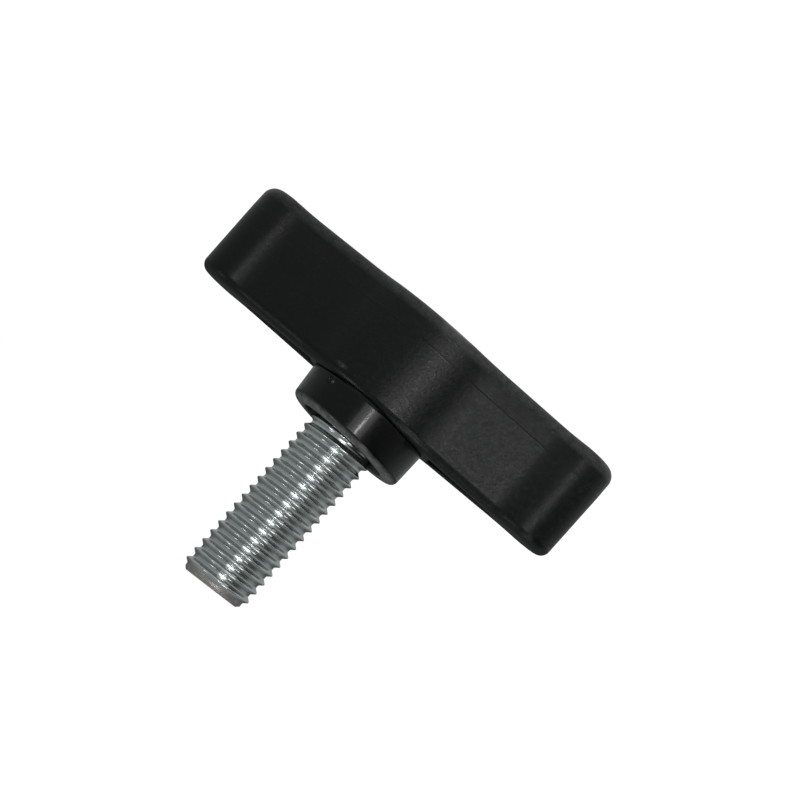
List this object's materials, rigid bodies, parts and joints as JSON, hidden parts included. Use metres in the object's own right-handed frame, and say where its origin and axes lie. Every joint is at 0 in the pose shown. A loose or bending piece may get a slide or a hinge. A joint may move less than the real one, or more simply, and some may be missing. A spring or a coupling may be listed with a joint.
{
  "type": "thumb screw",
  "caption": "Thumb screw with a moulded black bar grip, a round boss with a recessed face and a zinc-plated steel threaded stud, for clamping by hand.",
  "frame": {"origin": "middle of the grip's flat top, on which the part stands", "axes": "+Z along the stud towards its tip, +X along the bar of the grip"},
  "size_m": [0.059, 0.018, 0.0448],
  "materials": {
    "black_plastic": "moulded black plastic, satin on the bar and glossier on the boss",
    "zinc_steel": "bright zinc plating on a rolled thread"
  },
  "bodies": {
    "root": {"grip": "black_plastic", "threaded_stud": "zinc_steel"}
  },
  "joints": []
}
